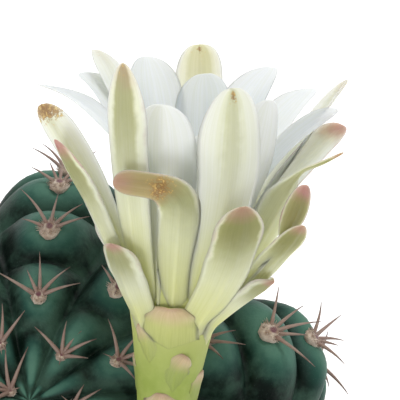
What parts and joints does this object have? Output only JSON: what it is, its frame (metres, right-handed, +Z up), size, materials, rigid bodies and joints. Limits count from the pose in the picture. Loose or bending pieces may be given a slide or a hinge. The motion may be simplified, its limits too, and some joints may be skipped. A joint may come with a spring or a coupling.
{
  "type": "potted chin cactus",
  "caption": "Flattened round ribbed cactus with chin-like tubercles, spined woolly areoles and one open white flower on a scaly tube, growing in a plain clay pot.",
  "frame": {"origin": "middle of the pot's flat foot, where it stands", "axes": "+Z up along the pot's axis; -Y is the front, from which the flower leans away; +X is to the right"},
  "size_m": [0.1197, 0.1227, 0.1783],
  "materials": {
    "clay": "unglazed, matt, slightly chalky",
    "grit": "loose, rough, dry",
    "skin": "waxy living skin with a soft sheen",
    "tube_green": "smooth living flesh, satin",
    "tepal_white": "thin, soft satin, slightly translucent",
    "pollen_cream": "powdery",
    "style_green": "smooth, satin"
  },
  "bodies": {
    "root": {"pot": "clay", "soil": "grit", "cactus_body": "skin", "floral_tube": "tube_green", "inner_tepals": "tepal_white", "stamens": "pollen_cream", "pistil": "style_green"}
  },
  "joints": []
}
